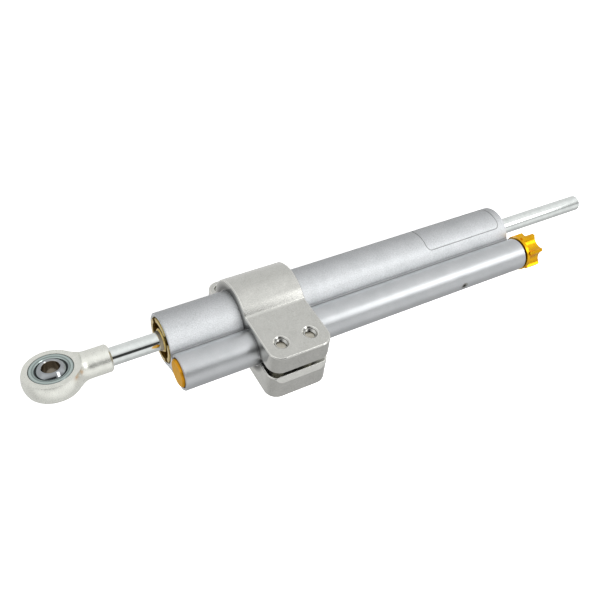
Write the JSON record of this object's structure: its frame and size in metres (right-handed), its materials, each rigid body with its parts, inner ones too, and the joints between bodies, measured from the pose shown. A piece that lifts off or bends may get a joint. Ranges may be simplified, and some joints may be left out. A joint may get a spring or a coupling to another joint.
{
  "type": "steering damper",
  "caption": "Through-rod steering damper: twin-tube aluminium body in a pinch clamp with mounting ear, spherical rod end, and a turn knob for the damping.",
  "frame": {"origin": "centre of the rod end's eye, on the rod's axis", "axes": "+X along the rod from the eye to the far tip, +Z square to the clamp's flange and along its ear's holes, valve tube on the -Y side"},
  "size_m": [0.3354, 0.0744, 0.0352],
  "materials": {
    "satin_aluminium": "bead blasted, clear anodised",
    "machined_aluminium": "fine milled and blasted",
    "gold_anodised": "bright gold anodised",
    "hard_chrome": "polished hard chrome",
    "zinc_steel": "pale zinc plated, satin",
    "bearing_steel": "ground bearing steel",
    "plain_steel": "bright steel",
    "spring_steel": "spring steel",
    "bronze": "sintered bronze",
    "nitrile": "black nitrile rubber",
    "ptfe": "filled PTFE, dark"
  },
  "bodies": {
    "body": {"twin_tube_body": "satin_aluminium", "port_screws": "plain_steel", "valve_tube_plug": "gold_anodised", "plug_o_ring": "nitrile", "compensator_spring": "spring_steel", "valve_housing": "gold_anodised", "valve_o_rings": "nitrile", "knob_snap_ring": "spring_steel", "detent_spring": "spring_steel", "clamp": "machined_aluminium", "clamp_screws": "plain_steel", "seal_head_near": "gold_anodised", "rod_bush_near": "bronze", "rod_seal_near": "nitrile", "wiper_near": "nitrile", "head_o_ring_near": "nitrile", "seal_head_far": "gold_anodised", "rod_bush_far": "bronze", "rod_seal_far": "nitrile", "wiper_far": "nitrile", "head_o_ring_far": "nitrile"},
    "piston_ring": {"piston_ring": "ptfe"},
    "rod": {"piston_rod": "hard_chrome", "piston": "satin_aluminium", "piston_circlip_near": "spring_steel", "piston_circlip_far": "spring_steel", "rod_end_housing": "zinc_steel", "rod_end_race": "bearing_steel"},
    "liner": {"rod_end_liner": "ptfe"},
    "ball": {"rod_end_ball": "hard_chrome"},
    "knob": {"adjuster_knob": "gold_anodised"},
    "needle": {"metering_needle": "plain_steel", "needle_o_ring": "nitrile"},
    "compensator": {"compensator_piston": "satin_aluminium", "compensator_o_ring": "nitrile"},
    "detent": {"detent_ball": "bearing_steel"}
  },
  "joints": [
    {"name": "rod_slide", "type": "slide", "parent": "body", "child": "piston_ring", "axis": [1, 0, 0], "range_m": [-0.06, 0.021]},
    {"name": "rod_spin", "type": "hinge", "parent": "piston_ring", "child": "rod", "pos_m": [0, 0, 0], "axis": [1, 0, 0], "continuous": true},
    {"name": "eye_swivel", "type": "hinge", "parent": "rod", "child": "liner", "pos_m": [0, 0, 0], "axis": [0, 0.165, 0.9863], "continuous": true},
    {"name": "ball_tilt", "type": "hinge", "parent": "liner", "child": "ball", "pos_m": [0, 0, 0], "axis": [0, 0.9863, -0.165], "range_deg": [-13, 13]},
    {"name": "knob_turn", "type": "hinge", "parent": "body", "child": "knob", "pos_m": [0.2543, -0.0216, 0], "axis": [1, 0, 0], "range_deg": [-270, 270]},
    {"name": "needle_travel", "type": "slide", "parent": "knob", "child": "needle", "axis": [1, 0, 0], "range_m": [-0.00075, 0.00075]},
    {"name": "compensator_slide", "type": "slide", "parent": "body", "child": "compensator", "axis": [-1, 0, 0], "range_m": [0, 0.012], "stiffness_N_per_m": 400, "springref_m": -0.01, "deforming": ["compensator_spring"]},
    {"name": "detent_hop", "type": "slide", "parent": "body", "child": "detent", "axis": [-1, 0, 0], "range_m": [0, 0.0004], "stiffness_N_per_m": 500, "springref_m": -0.002, "deforming": ["detent_spring"]}
  ],
  "couplings": [
    {"joint": "needle_travel", "follows": "knob_turn", "m_per_rad": 0.00015915}
  ]
}
